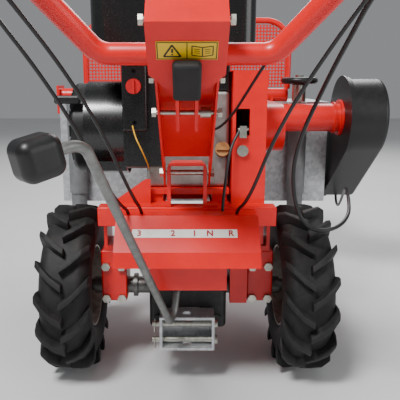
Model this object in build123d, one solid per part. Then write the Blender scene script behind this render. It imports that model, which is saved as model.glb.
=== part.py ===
"""Two-wheel walk-behind trencher: engine, drive, handlebar column and a front digging head.

Millimetres, +X right, +Y forward, +Z up. The model is laid out from the middle of the wheel axle
at ground level and moved at the end, so that its origin is the middle of its footprint.
"""
from build123d import *
from math import cos, degrees, hypot, pi, radians, sin, tan
import os

# Wheels and axle
tyre_d, tyre_width, half_track = 410.0, 125.0, 280.0
rim_d, rim_width, tyre_wall = 203.0, 100.0, 16.0
axle_z = tyre_d / 2
shaft_d, bush_wall, axle_tube_d = 30.0, 2.0, 42.0
running_gap = 0.05       # radial, shaft in bush
moving_gap = 0.4         # between curved faces that move past each other
sheet = 3.0              # red and grey sheet metal

# Gearbox and its drive
gearbox_x, gearbox_half_y, gearbox_top = (-91.0, 95.0), 75.0, 340.0
gearbox_bottom, casting = 120.0, 8.0
gear_module, axle_teeth, pinion_teeth, gear_face = 2.5, 50, 12, 18.0
input_angle = 50.0       # of the input shaft above the axle, degrees
input_shaft_d, input_pulley_d = 25.0, 96.0

# Engine
crank_y, crank_z, crank_d = 120.0, 593.0, 25.0
engine_base, case_x, case_half_y, case_top = 461.0, (-150.0, 100.0), 120.0, 690.0
crank_pulley_d, belt_width = 80.0, 17.0
wheel_belt_x, tool_belt_x = 128.0, 216.0
recoil_x, recoil_d = (-287.0, -250.0), 226.0
tank_x, tank_y, tank_z = (-216.0, 155.0), (-62.0, 200.0), (751.0, 920.0)

# Cross drive and side case
cross_y, cross_z, cross_tube_d, cross_shaft_d = 492.0, 594.0, 89.0, 25.0
case_plate_x, case_depth, case_top_r, case_low_r = 500.0, 122.0, 129.0, 52.0
side_belt_x = 560.0
head_y, head_z, head_shaft_d = 705.0, 340.0, 35.0

# Digging head
hood_x, hood_y, hood_z = (-441.0, 490.0), (605.0, 930.0), (290.0, 640.0)
boom_length, boom_raise, sprocket_r, chain_thick, tooth_reach = 540.0, 15.0, 55.0, 12.0, 24.0
leg_x, leg_y, leg_d, sleeve_wall = 378.0, 570.0, 54.0, 4.0

# Handlebar column
foot_y, foot_z, lean = -130.0, 538.0, 45.0
column_length, column_low_w, column_top_w, column_depth, column_wall = 400.0, 105.0, 118.0, 45.0, 4.0
bar_d, bar_wall, bar_z_along = 38.0, 3.0, 315.0
tilt_y, tilt_z = -84.0, 508.0
lock_along, lock_reach = 165.0, 57.0

# Shift lever
lever_x, lever_y, lever_z, lever_d = -22.0, -106.0, 244.0, 16.0
lever_top, knob_middle, knob_size = (-137.0, -600.0, 634.0), (-188.0, -640.0, 619.0), (56.0, 60.0)


def block(x, y, z, r=0.0):
    """Upright block between pairs of limits, with every edge rounded by r."""
    body = Pos(sum(x) / 2, sum(y) / 2, sum(z) / 2) * Box(x[1] - x[0], y[1] - y[0], z[1] - z[0])
    return fillet(body.edges(), r) if r else body


def bar(start, end, radius):
    """Round bar from one point to another."""
    a, b = Vector(*start), Vector(*end)
    bottom = (Align.CENTER, Align.CENTER, Align.MIN)
    return Plane(origin=a, z_dir=b - a) * Cylinder(radius, (b - a).length, align=bottom)


def disc(x, y, z, r):
    """Round piece on an axis along X, between two X limits."""
    return bar((x[0], y, z), (x[1], y, z), r)


def along_x(outline, x):
    """Prism from a (Y, Z) outline, between two X limits."""
    face = make_face(Polyline(*[(x[0], y, z) for y, z in outline], close=True))
    return extrude(face, amount=x[1] - x[0], dir=(1, 0, 0))


def teardrop(x, y0, z0, r0, y1, z1, r1):
    """Prism along X round two circles."""
    length = hypot(y1 - y0, z1 - z0)
    u, w = (y1 - y0) / length, (z1 - z0) / length
    k = (r0 - r1) / length
    s = (1 - k * k) ** 0.5
    corners = []
    for side in (1, -1):
        n = (k * u - side * s * w, k * w + side * s * u)
        pair = [(y0 + r0 * n[0], z0 + r0 * n[1]), (y1 + r1 * n[0], z1 + r1 * n[1])]
        corners += pair if side == 1 else pair[::-1]
    return along_x(corners, x) + disc(x, y0, z0, r0) + disc(x, y1, z1, r1)


def bent_bar(points, radii, r, bore=0.0):
    """Round bar or tube along straight runs joined by arcs."""
    path = FilletPolyline(*points, radius=radii)
    start = Plane(origin=path @ 0, z_dir=path % 0)
    section = Circle(r) - Circle(bore) if bore else Circle(r)
    return sweep(start * section, path=path)


def pulley(x, y, z, r, bore):
    """V pulley with two flanges, centred on x."""
    half, groove = belt_width / 2 + 4, belt_width / 2 - 1
    profile = [(x - half, bore), (x - half, r), (x - groove - 2, r), (x - groove + 2, r - 10),
               (x + groove - 2, r - 10), (x + groove + 2, r), (x + half, r), (x + half, bore)]
    face = make_face(Polyline(*[(a, y, z + b) for a, b in profile], close=True))
    return revolve(face, Axis((0, y, z), (1, 0, 0)))


def belt(x, y0, z0, r0, y1, z1, r1):
    """Closed V belt round two pulleys, riding in their grooves."""
    half = belt_width / 2 - 4
    outside = teardrop((x - half, x + half), y0, z0, r0 - 1, y1, z1, r1 - 1)
    inside = teardrop((x - half, x + half), y0, z0, r0 - 9, y1, z1, r1 - 9)
    return outside - inside


def gear(x, y, z, teeth, bore, half_tooth=0.0):
    """Spur gear with straight-sided teeth and easy backlash, in a plane across X."""
    pitch_r = gear_module * teeth / 2
    outline = []
    for i in range(teeth):
        mid = 2 * pi * (i + half_tooth) / teeth
        for r, width in ((pitch_r - 1.1 * gear_module, 3.4), (pitch_r + 0.8 * gear_module, 1.5)):
            outline.append((r, mid - width / 2 / r))
        for r, width in ((pitch_r + 0.8 * gear_module, 1.5), (pitch_r - 1.1 * gear_module, 3.4)):
            outline.append((r, mid + width / 2 / r))
    prism = along_x([(y + r * cos(a), z + r * sin(a)) for r, a in outline], x)
    return prism - disc(x, y, z, bore)


def hex_bolt(x, y, z, across, head, shank_r, length, facing=-1):
    """Hex bolt along Y: the head stands out of the face at y, towards facing."""
    face = Plane(origin=(x, y, z), x_dir=(1, 0, 0), z_dir=(0, facing, 0))
    bolt_head = extrude(face * RegularPolygon(across / 2, 6, major_radius=False), amount=head)
    return bolt_head + bar((x, y, z), (x, y - facing * length, z), shank_r)


def hex_nut_x(x, y, z, across, thick, towards):
    """Hex nut or bolt head on an axis along X."""
    face = Plane(origin=(x, y, z), x_dir=(0, 1, 0), z_dir=(towards, 0, 0))
    return extrude(face * RegularPolygon(across / 2, 6, major_radius=False), amount=thick)


def column_point(along, across=0.0, x=0.0):
    """Point on the leaning column: along it, and forward of its middle by across."""
    s, c = sin(radians(lean)), cos(radians(lean))
    return (x, foot_y - s * along + c * across, foot_z + c * along + s * across)


column_plane = Plane(origin=(0, foot_y, foot_z), x_dir=(1, 0, 0),
                     z_dir=(0, -sin(radians(lean)), cos(radians(lean))))


def column_block(x, across, along, r=0.0):
    """Block in the column's own directions."""
    return column_plane * block(x, across, along, r)


def mirrored(shape):
    return mirror(shape, Plane.YZ)


def tyre(side):
    """Closed tyre with a rounded crown and beads that sit on the rim."""
    half, bead = tyre_width / 2, rim_d / 2
    x0, r = side * half_track, tyre_d / 2
    with BuildSketch(Plane.XY) as section:
        with Locations((x0, (r + bead) / 2)):
            RectangleRounded(tyre_width, r - bead, 26)
        with Locations((x0, (r + bead) / 2 - tyre_wall)):
            RectangleRounded(tyre_width - 2 * tyre_wall, r - bead, 18, mode=Mode.SUBTRACT)
    return Pos(0, 0, axle_z) * (Rot(90, 0, 0) * revolve(section.sketch, Axis.X))


def rim(side):
    """Pressed wheel: barrel, edge flanges and dished disc with bolt holes."""
    x0, r, half = side * half_track, rim_d / 2, rim_width / 2
    body = disc((x0 - half, x0 + half), 0, axle_z, r) - disc((x0 - half, x0 + half), 0, axle_z, r - 4)
    plate = (x0 - 12, x0 - 8) if side > 0 else (x0 + 8, x0 + 12)
    body += disc(plate, 0, axle_z, r - 3.5) - disc(plate, 0, axle_z, input_hole)
    for i in range(wheel_bolt_count):
        y, z = wheel_bolt_place(i)
        body -= disc(plate, y, z, wheel_bolt_r)
    return body


wheel_bolt_count, wheel_bolt_r, wheel_bolt_circle = 5, 6.0, 90.0
input_hole = 25.0
hub_thick = 10.0


def wheel_bolt_place(i):
    a = 2 * pi * i / wheel_bolt_count
    return wheel_bolt_circle / 2 * cos(a), axle_z + wheel_bolt_circle / 2 * sin(a)


def axle_shaft():
    """Shaft with a hub flange at each end and the final gear keyed on inside the gearbox."""
    shaft = disc((-half_track + 12, half_track - 12), 0, axle_z, shaft_d / 2)
    for side in (1, -1):
        face = side * (half_track - 12)
        x = sorted((face - side * hub_thick, face))
        hub = disc(x, 0, axle_z, wheel_bolt_circle / 2 + 16)
        hub += disc(sorted((face, face + side * 20)), 0, axle_z, input_hole - 1)
        for i in range(wheel_bolt_count):
            y, z = wheel_bolt_place(i)
            hub -= disc(x, y, z, wheel_bolt_r)
        shaft += hub
    return shaft


def wheel_bolts():
    bolts = []
    for side in (1, -1):
        face = side * (half_track - 12)
        outer = face + side * 4
        for i in range(wheel_bolt_count):
            y, z = wheel_bolt_place(i)
            bolt = disc(sorted((face - side * hub_thick, outer + side * 2)), y, z, wheel_bolt_r)
            bolt += hex_nut_x(outer, y, z, 19, 10, side)
            bolts.append(bolt + hex_nut_x(face - side * hub_thick, y, z, 19, 7, -side))
    return Compound(children=bolts)


input_y = gear_module * (axle_teeth + pinion_teeth) / 2 * cos(radians(input_angle))
input_z = axle_z + gear_module * (axle_teeth + pinion_teeth) / 2 * sin(radians(input_angle))
gear_x = (-gear_face / 2, gear_face / 2)


def axle_gear():
    return gear(gear_x, 0, axle_z, axle_teeth, shaft_d / 2)


def pinion_phase():
    """Turn of the pinion that puts a gap where the big gear has a tooth, in pinion teeth."""
    at_mesh = input_angle / 360 * axle_teeth
    mine = (input_angle + 180) / 360 * pinion_teeth
    return mine + at_mesh + 0.5


def input_shaft():
    """Gearbox input: shaft and pinion in one."""
    shaft = disc((gearbox_x[0] + 12, wheel_belt_x + 14), input_y, input_z, input_shaft_d / 2)
    return shaft + gear(gear_x, input_y, input_z, pinion_teeth, 1.0, pinion_phase())


def gearbox_housing():
    """Cast box with bores for the axle tubes and the input shaft."""
    body = block(gearbox_x, (-gearbox_half_y, gearbox_half_y), (gearbox_bottom, gearbox_top), 12)
    inner_x = (gearbox_x[0] + casting, gearbox_x[1] - casting)
    inner_y = (-gearbox_half_y + casting, gearbox_half_y - casting)
    body -= block(inner_x, inner_y, (gearbox_bottom + casting, gearbox_top - casting), 6)
    for z in (gearbox_bottom + 24, gearbox_top - 24):
        for x in (gearbox_x[0] + 24, gearbox_x[1] - 24):
            body += bar((x, -gearbox_half_y, z), (x, -gearbox_half_y - 5, z), 14)
    boss_x = (inner_x[1] - 1, gearbox_x[1] + 6)
    body += disc(boss_x, input_y, input_z, 24)
    body -= disc((0, 200), input_y, input_z, input_shaft_d / 2 + running_gap)
    body += disc((gearbox_x[0], inner_x[0] + 12), input_y, input_z, 22)
    body -= disc((gearbox_x[0] + 8, 0), input_y, input_z, input_shaft_d / 2 + running_gap)
    body -= disc((-300, 300), 0, axle_z, axle_tube_d / 2)
    body += bar((lever_x, -gearbox_half_y - 14, lever_z), (lever_x, -gearbox_half_y + 2, lever_z), 19)
    return body - bar((lever_x, -200, lever_z), (lever_x, -gearbox_half_y + 1, lever_z), lever_pin_r + 0.08)


lever_pin_r = 10.0
clamp_x = (148.0, 210.0)


def axle_tube(side):
    """Steel tube from the gearbox to the wheel, with a bush at each end for the shaft."""
    inner = gearbox_x[1] - casting if side > 0 else -gearbox_x[0] - casting
    x = sorted((side * inner, side * (clamp_x[1] + 22)))
    return disc(x, 0, axle_z, axle_tube_d / 2) - disc(x, 0, axle_z, shaft_d / 2 + bush_wall)


def axle_bushes():
    rings = []
    for side in (1, -1):
        inner = gearbox_x[1] - casting if side > 0 else -gearbox_x[0] - casting
        for start in (inner, clamp_x[1] - 8):
            x = sorted((side * start, side * (start + 30)))
            ring = disc(x, 0, axle_z, shaft_d / 2 + bush_wall)
            rings.append(ring - disc(x, 0, axle_z, shaft_d / 2 + running_gap))
    return Compound(children=rings)


def collar_rings():
    """Zinc collars beside the axle clamps."""
    rings = []
    for x in ((120, 130), (-134, -124)):
        ring = disc(x, 0, axle_z, axle_tube_d / 2 + 8) - disc(x, 0, axle_z, axle_tube_d / 2)
        rings.append(ring)
    return Compound(children=rings)


clamp_half_y, clamp_z = 45.0, (179.0, 309.0)
clamp_bolt_r, clamp_bolt_rows = 6.0, (262.0, 286.0)


def axle_clamp(side):
    """Split block that grips the axle tube: a slot runs from the bore to the front face."""
    body = block(clamp_x, (-clamp_half_y, clamp_half_y), clamp_z, 4)
    body -= disc(clamp_x, 0, axle_z, axle_tube_d / 2)
    body -= block(clamp_x, (0, clamp_half_y), (axle_z - 1.5, axle_z + 1.5))
    for bolt in clamp_bolts(side):
        body -= bolt
    return body if side > 0 else mirrored(body)


def clamp_bolts(side=1):
    """Four hex bolts into the rear of one clamp."""
    bolts = []
    for x in (clamp_x[0] + 12, clamp_x[1] - 12):
        for z in (clamp_z[1] - 40, clamp_z[0] + 8):
            bolts.append(hex_bolt(x, -clamp_half_y, z, 19, 8, clamp_bolt_r, 24))
    return bolts


def all_clamp_bolts():
    right = clamp_bolts()
    return Compound(children=right + [mirrored(b) for b in right])


beam_top, beam_bottom = 430.0, 385.0
plate_z, plate_left = (449.0, 461.0), -97.0


def chassis_frame():
    """Welded frame: cross beams, side rails, engine plate, legs to the axle clamps, pillar."""
    body = block((-205, 205), (-103, -58), (beam_bottom, beam_top), 3)
    body += block((plate_left, 140), (195, 240), (beam_bottom, beam_top), 3)
    for x in ((plate_left, plate_left + 45), (55, 100)):
        body += block(x, (-60, 200), (beam_bottom, beam_top))
        body += block((x[0] + 5, x[1] - 5), (-40, 220), (beam_top - 2, plate_z[0] + 2))
    body += block((plate_left, 100), (-45, 240), plate_z)
    gusset = extrude(Plane.XZ * make_face(Polyline((-182, beam_top - 2), (plate_left, 488),
                                                   (plate_left + 12, 488), (plate_left + 12, beam_top - 2),
                                                   close=True)), amount=4)
    body += Pos(0, -58, 0) * gusset
    body += block((-70, 75), (-60, 60), (gearbox_top, beam_bottom + 2))
    body += block((plate_left, 100), (-58, 60), (beam_bottom, beam_bottom + 8))
    for side in (1, -1):
        x = sorted((side * 160, side * 200))
        body += block(x, (-clamp_half_y, clamp_half_y), (clamp_z[1], beam_bottom + 4), 0)
        body -= block(sorted((side * 168, side * 192)), (-60, 60), (clamp_z[1] + 12, beam_bottom - 8))
    body += block((120, 205), (-58, -30), (beam_bottom, beam_bottom + 20))
    return body


def front_rails():
    """Two box rails from the frame to the hood's rear wall, with an end plate."""
    body = block((-90, 90), (hood_y[0] - 10, hood_y[0]), (365, 470))
    for side in (1, -1):
        x = sorted((side * 42, side * 82))
        rail = block(x, (240, hood_y[0] - 10), (beam_bottom, beam_top))
        body += rail - block((x[0] + 3, x[1] - 3), (243, hood_y[0] - 13), (beam_bottom + 3, beam_top - 3))
    return body


hitch_x, hitch_y, hitch_z, hitch_wall = 64.0, (-138.0, -80.0), (94.0, 176.0), 6.0
hitch_pin_d, hitch_pin_z, hitch_pin_y = 14.0, 110.0, -112.0


def rear_hitch_box():
    """Galvanised socket under the gearbox, open to the rear, with two ears and a pin hole row."""
    outer = block((-hitch_x, hitch_x), hitch_y, hitch_z)
    inner_x = (-hitch_x + hitch_wall, hitch_x - hitch_wall)
    body = outer - block(inner_x, (hitch_y[0] - 1, hitch_y[1] - hitch_wall),
                         (hitch_z[0] + hitch_wall, hitch_z[1] - hitch_wall))
    body += block((-30, 30), (hitch_y[1] - 2, hitch_y[1] + 4), (hitch_z[0] + 26, hitch_z[1]))
    for z in (hitch_pin_z, hitch_pin_z + 40):
        body -= disc((-100, 100), hitch_pin_y, z, hitch_pin_d / 2)
    return body - bar((0, hitch_pin_y, 0), (0, hitch_pin_y, 300), tow_hole_r)


tow_hole_r = 11.0


def hitch_pins():
    """Two cross pins with a head at the right end."""
    pins = []
    for z in (hitch_pin_z, hitch_pin_z + 40):
        pin = disc((-hitch_x - 18, hitch_x + 8), hitch_pin_y, z, hitch_pin_d / 2)
        pins.append(pin + disc((hitch_x, hitch_x + 8), hitch_pin_y, z, hitch_pin_d / 2 + 4))
    return Compound(children=pins)


def r_clips():
    """Spring clips through the pins' left ends."""
    clips = []
    for z in (hitch_pin_z, hitch_pin_z + 40):
        x = -hitch_x - 12
        points = [(x, hitch_pin_y, z + 12), (x, hitch_pin_y, z - 12), (x, hitch_pin_y - 14, z - 22),
                  (x, hitch_pin_y - 14, z + 10)]
        clips.append(bent_bar(points, [3, 5], 1.5))
    return Compound(children=clips)


gate_x, gate_outline = 155.0, [(-103, 425), (-160, 425), (-224, 361), (-236, 330), (-103, 330)]


def shift_gate_cover():
    """Folded sheet box with a sloping face, open below and in front."""
    outer = along_x(gate_outline, (-gate_x, gate_x))
    s = sheet
    inner = [(-102, 425 - s), (-160 + s * 0.4, 425 - s), (-224 + s * 1.2, 361 - s * 0.4),
             (-236 + s * 1.1, 329), (-102, 329)]
    body = outer - along_x(inner, (-gate_x + s, gate_x - s))
    body += block((-80, 86), (-200, -197), (268, 332))
    for x in ((-80, -77), (83, 86)):
        body += block(x, (-200, -80), (268, 332)) + block(x, (-150, -103), (300, 423))
    return body


def gate_scale_strip():
    """Thin plate on the sloping face that carries the gear marks."""
    middle_y, middle_z = -192, 393
    face = Plane(origin=(0, middle_y, middle_z), x_dir=(1, 0, 0), z_dir=(0, -1, 1))
    return face * Pos(-5, 0, 0.75) * Box(225, 20, 1.5)


def shift_lever():
    """Round rod: a pin in the gearbox, a bend below it, a long straight run and a crook to the knob."""
    points = [(lever_x, -gearbox_half_y - 2, lever_z), (lever_x, lever_y - 22, lever_z),
              (lever_x - 12, lever_y - 52, lever_z - 82), lever_top, knob_middle]
    rod = bent_bar(points, [16, 28, 36], lever_d / 2)
    pin = bar((lever_x, -gearbox_half_y, lever_z), (lever_x, -gearbox_half_y - 14, lever_z),
              lever_pin_r)
    collar = bar((lever_x, lever_y + 16, lever_z), (lever_x, lever_y, lever_z), lever_pin_r + 7)
    return rod + pin + collar


def shift_knob():
    """Large square knob, rounded all over, pushed on the rod's end."""
    run = (Vector(*knob_middle) - Vector(*lever_top)).normalized()
    plane = Plane(origin=knob_middle, z_dir=run, x_dir=(0, 0, 1))
    width, length = knob_size
    return plane * fillet(Box(width, width, length).edges(), 16) - shift_lever()


def column_bracket():
    """Bent strip bracket, an upside-down U, that carries the column on its cross bolt."""
    half, thick, top = 45.0, 8.0, 533.0
    outer = block((-half, half), (-102, -62), (beam_top, top))
    outer = fillet(outer.edges().filter_by(Axis.Y).group_by(Axis.Z)[-1], 18)
    inner = block((-half + thick, half - thick), (-110, -50), (beam_top - 1, top - thick))
    body = outer - inner
    for side in (1, -1):
        x = sorted((side * half, side * (half + 26)))
        body += block(x, (-100, -62), (beam_top, beam_top + 6))
    return body - disc((-100, 100), tilt_y, tilt_z, 6.0 + moving_gap)


def pivot_bolt():
    """Zinc cross bolt and nuts on which the column tilts."""
    half = column_low_w / 2
    bolt = disc((-half - 4, half + 4), tilt_y, tilt_z, 6.0)
    bolt += hex_nut_x(-half - 0.4, tilt_y, tilt_z, 19, 9, -1)
    return bolt + hex_nut_x(half + 0.4, tilt_y, tilt_z, 19, 9, 1)


def column_section(along, width):
    """Channel section across the column, open to the rear."""
    half, t, rear, front = width / 2, column_wall, -25.0, 20.0
    points = [(-half, rear), (-half, front), (half, front), (half, rear), (half - t, rear),
              (half - t, front - t), (-half + t, front - t), (-half + t, rear)]
    plane = column_plane.offset(along)
    return plane * make_face(Polyline(*points, close=True))


def column_channel():
    """Folded channel that widens towards the head, with ears for the tilt bolt at its foot."""
    body = loft([column_section(0, column_low_w), column_section(column_length, column_top_w)])
    half = column_low_w / 2
    for side in (1, -1):
        x = sorted((side * (half - column_wall), side * half))
        body += column_block(x, (-14, 28), (-72, 1))
    for x, along, across in cross_bolts():
        body -= disc((-200, 200), *column_point(along, across)[1:], 5.0)
    return body - disc((-100, 100), tilt_y, tilt_z, 6.0)


head_half, head_along, head_pivot_along = 66.0, (268.0, 410.0), 387.0


def cross_bolts():
    """Bolts through the column: lever pivot, head stop and head pivot."""
    return [(60, lock_along, -3), (60, 257.0, -4), (70, head_pivot_along, -6)]


def column_bolts():
    bolts = []
    for half, along, across in cross_bolts():
        y, z = column_point(along, across)[1:]
        bolt = disc((-half - 6, half + 6), y, z, 5.0)
        bolt += hex_nut_x(-half, y, z, 17, 8, -1) + hex_nut_x(half, y, z, 17, 8, 1)
        bolts.append(bolt)
    return Compound(children=bolts)


def column_head():
    """Folded box over the column's top: cover, cheeks and a tapered lower flange."""
    t, low, high = 4.0, head_along[0], head_along[1]
    inside = head_half - t
    cover = column_block((-head_half, head_half), (-38, -38 + t), (low + 30, high))
    flange = Polyline((-head_half, low + 32), (-40, low), (40, low), (head_half, low + 32), close=True)
    tab = extrude(Plane(origin=column_point(0, -38), x_dir=(1, 0, 0),
                        z_dir=-column_plane.y_dir) * make_face(flange), amount=-t)
    body = cover + tab
    for side in (1, -1):
        x = sorted((side * inside, side * head_half))
        body += column_block(x, (-38, 26), (low + 30, high))
    body += column_block((-head_half, head_half), (-38, 26), (high - t, high))
    bolt_y, bolt_z = column_point(head_pivot_along, -6)[1:]
    return body - disc((-200, 200), bolt_y, bolt_z, 5.0)


def label_plate():
    return column_block((-50, 50), (-39.2, -38), (334, 372))


arm_radii = [42.0, 70.0, 90.0]


def handlebar_points(side):
    y, z = column_point(bar_z_along, -5)[1:]
    return [(side * head_half, y, z), (side * 150, y, z), (side * 238, y - 62, z + 98),
            (side * 318, y - 262, z + 205), (side * 338, y - 440, z + 240)]


def handlebar_tube():
    """One round tube in two arms from the head's cheeks to the grips."""
    arm = bent_bar(handlebar_points(1), arm_radii, bar_d / 2, bar_d / 2 - bar_wall)
    return Compound(children=[arm, mirrored(arm)])


def bar_place(share, side=1):
    """Point and direction on the last straight run of an arm."""
    a, b = (Vector(*p) for p in handlebar_points(side)[-2:])
    return a + (b - a) * share, (b - a).normalized()


def grip(side):
    """Ribbed rubber sleeve closed at its end."""
    start, run = bar_place(0.42)
    end = bar_place(1.0)[0] + run * 4
    body = bar(tuple(start), tuple(end), bar_d / 2 + 4)
    for i in range(12):
        a = start + run * (10 + i * 8)
        ring = bar(tuple(a), tuple(a + run * 4), bar_d / 2 + 5.2)
        body += ring
    body -= bar(tuple(start - run * 2), tuple(end - run * 4), bar_d / 2)
    return body if side > 0 else mirrored(body)


lever_pivot_drop, lever_pivot_r, barrel_drop, lever_droop = 34.0, 4.0, 30.0, 11.0


def arm_bore():
    """What the clamps and ties on the right arm are bored with."""
    return bent_bar(handlebar_points(1), arm_radii, bar_d / 2 + running_gap)


def lever_frame(side=1):
    """Place and directions of a hand lever's clamp on the right arm."""
    point, run = bar_place(0.26)
    down = Vector(1, 0, 0).cross(run).normalized()
    if down.Z > 0:
        down = down * -1
    return point, run, down


def lever_clamps():
    """Two clamp rings under the arms, each with a two-eared bracket and its pin."""
    point, run, down = lever_frame()
    ring = bar(tuple(point - run * 12), tuple(point + run * 12), bar_d / 2 + 4)
    frame = Plane(origin=point, x_dir=run, z_dir=down)
    for side in (1, -1):
        y = sorted((side * 7, side * 11))
        ring += frame * block((-11, 11), y, (bar_d / 2, lever_pivot_drop + 10))
    ring += frame * Pos(0, 0, lever_pivot_drop) * Rot(90, 0, 0) * Cylinder(lever_pivot_r, 22)
    ring += frame * block((-14, -10.5), (-15, 15), (barrel_drop - 6, barrel_drop + 6))
    for y in (-9, 9):
        barrel = bar((-30, y, barrel_drop), (-13, y, barrel_drop), 5)
        ring += frame * barrel
    ring -= arm_bore()
    return Compound(children=[ring, mirrored(ring)])


def hand_lever(side):
    """Pressed lever under the grip, on the clamp's pin."""
    point, run, down = lever_frame()
    frame = Plane(origin=point, x_dir=run, z_dir=down)
    turned = frame * Pos(0, 0, lever_pivot_drop) * Rot(0, -lever_droop, 0)
    body = turned * block((-4, 150), (-5.5, 5.5), (-5, 6), 2)
    body += frame * Pos(0, 0, lever_pivot_drop) * Rot(90, 0, 0) * Cylinder(8, 12)
    body -= frame * Pos(0, 0, lever_pivot_drop) * Rot(90, 0, 0) * Cylinder(
        lever_pivot_r + 0.08, 60)
    return body if side > 0 else mirrored(body)


def throttle_place():
    point, run = bar_place(0.08)
    return point, run


def throttle_base():
    """Clamp and disc housing of the throttle on top of the right arm."""
    point, run = throttle_place()
    ring = bar(tuple(point - run * 8), tuple(point + run * 8), bar_d / 2 + 4)
    ring += Plane(origin=point, z_dir=lever_frame()[2] * -1) * Pos(0, 0, bar_d / 2 + 5) * Cylinder(20, 12)
    return ring - arm_bore()


def throttle_lever():
    point, run = throttle_place()
    plane = Plane(origin=point, x_dir=run, z_dir=lever_frame()[2] * -1)
    high = bar_d / 2 + 11.4
    body = plane * Pos(0, 0, high + 3) * Cylinder(15, 6)
    return body + plane * block((0, 46), (-5, 5), (high + 1, high + 6), 1.5)


def lock_lever():
    """Upside-down U of flat bar on the column's lever bolt."""
    legs = None
    for side in (1, -1):
        x = sorted((side * 14, side * 20))
        low = column_block(x, (-12, 8), (lock_along - 12, lock_along + 24))
        rise = column_block(x, (-lock_reach - 6, 2), (lock_along + 14, lock_along + 30))
        top = column_block(x, (-lock_reach - 6, -lock_reach + 6), (lock_along + 14, 330))
        leg = low + rise + top
        legs = leg if legs is None else legs + leg
    legs += column_block((-20, 20), (-lock_reach - 6, -lock_reach + 6), (326, 332))
    y, z = column_point(lock_along, -3)[1:]
    return legs - disc((-100, 100), y, z, 5.0 + 0.08)


def lock_sleeve():
    """Rubber sleeve over the top of the lock lever."""
    sleeve = column_block((-24, 24), (-lock_reach - 10, -lock_reach + 10), (262, 344), 7)
    return sleeve - lock_lever()


def lock_spring():
    """Close-wound torsion spring on the lever bolt, as its outer sleeve."""
    y, z = column_point(lock_along, -3)[1:]
    coil = disc((26, 46), y, z, 11)
    for i in range(7):
        x = 28.5 + i * 2.7
        coil -= disc((x, x + 0.7), y, z, 12) - disc((x, x + 0.7), y, z, 10)
    return coil - disc((-100, 100), y, z, 5.6)


def cable_ties():
    """Ties round both arms."""
    ties = []
    for share in (0.25, 0.62):
        a, b = (Vector(*p) for p in handlebar_points(1)[2:4])
        run = (b - a).normalized()
        point = a + (b - a) * share
        ring = bar(tuple(point - run * 3), tuple(point + run * 3), bar_d / 2 + 1.6)
        ring += Pos(*(point + Vector(0, 0, bar_d / 2 + 3))) * Box(8, 6, 6)
        ring -= arm_bore()
        ties += [ring, mirrored(ring)]
    return Compound(children=ties)


def engine_crankcase():
    """Aluminium crankcase shell with a finned cylinder that leans forward."""
    x, y = case_x, (crank_y - case_half_y - 20, crank_y + case_half_y - 20)
    wall, foot_x = 7.0, (plate_left, x[1])
    body = block(x, y, (case_step, case_top), 10) + block(foot_x, y, (engine_base, case_top), 10)
    for (x0, x1), low in ((x, case_step), (foot_x, engine_base)):
        body -= block((x0 + wall, x1 - wall), (y[0] + wall, y[1] - wall), (low + wall, case_top - wall), 4)
    body -= disc((-200, 200), crank_y, crank_z, crank_d / 2 + running_gap)
    body += disc((x[1] - 1, x[1] + 3), crank_y, crank_z, 34) - disc((0, 200), crank_y, crank_z, 14)
    cylinder = Plane(origin=(-20, y[1], crank_z + 40), x_dir=(1, 0, 0),
                     z_dir=(0, cos(radians(25)), sin(radians(25))))
    barrel = cylinder * Pos(0, 0, 45) * Box(96, 96, 130)
    for i in range(8):
        barrel += cylinder * Pos(0, 0, 14 + i * 13) * Box(124, 120, 3)
    barrel -= block((-200, 200), (0, y[1] - 3), (400, 800))
    body += barrel
    body += oil_neck() * Pos(0, 0, 8) * Cylinder(15, 20)
    return body - oil_neck() * Pos(0, 0, 14) * Cylinder(9, 40)


case_step, oil_cap_z = 506.0, 548.0


def oil_neck():
    return Plane(origin=(83, crank_y - case_half_y - 18, oil_cap_z), x_dir=(1, 0, 0),
                 z_dir=(0, -1, 0.35))


def oil_cap():
    """Moulded filler cap with a wing grip."""
    cap = Pos(0, 0, 22.3) * Cylinder(17, 8) + Pos(0, 0, 10) * Cylinder(8.6, 18)
    return oil_neck() * (cap + Pos(0, 0, 29) * Box(28, 7, 8))


fan_x = (-250.0, -150.0)


def fan_housing():
    """Black blower housing round the flywheel, open towards the engine's middle."""
    r = recoil_d / 2 + 5
    outer = disc(fan_x, crank_y, crank_z, r) + block(fan_x, (crank_y - 90, crank_y + 110),
                                                     (crank_z - 100, crank_z))
    inner = disc((fan_x[0] + 3, fan_x[1] + 1), crank_y, crank_z, r - 3)
    return outer - inner - disc((fan_x[0] - 1, fan_x[1] + 1), crank_y, crank_z, 100)


def recoil_cover():
    """Recoil starter cover with cooling slots and a hole for the rope handle."""
    x, r = recoil_x, recoil_d / 2
    outer = fillet(disc(x, crank_y, crank_z, r).edges().group_by(Axis.X)[0], 14)
    body = outer - disc((x[0] + 3, x[1] + 1), crank_y, crank_z, r - 3)
    for i in range(18):
        a = 2 * pi * i / 18
        slot = Pos(0, crank_y, crank_z) * Rot(degrees(a), 0, 0) * Pos(x[0], 0, 88) * Box(20, 9, 40)
        body -= slot
    for i in range(4):
        slot = Pos(0, crank_y, crank_z) * Rot(45 + 90 * i, 0, 0) * Pos(x[0], 0, 40) * Box(20, 40, 10)
        body -= slot
    return body - bar((rope_x, -40, rope_z), (rope_x, 60, rope_z), 9)


rope_x, rope_z = -268.0, 668.0
rope_out = 24.0


def rope_start():
    """Where the rope leaves the cover's rim, on the operator's side."""
    r = recoil_d / 2
    return crank_y - (r * r - (rope_z - crank_z) ** 2) ** 0.5


def recoil_handle():
    """T handle on the end of the starter rope."""
    y = rope_start() - rope_out
    grip_bar = fillet(block((rope_x - 48, rope_x + 14), (y - 14, y + 8), (rope_z - 10, rope_z + 10)).edges(), 6)
    return grip_bar - recoil_rope()


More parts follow.
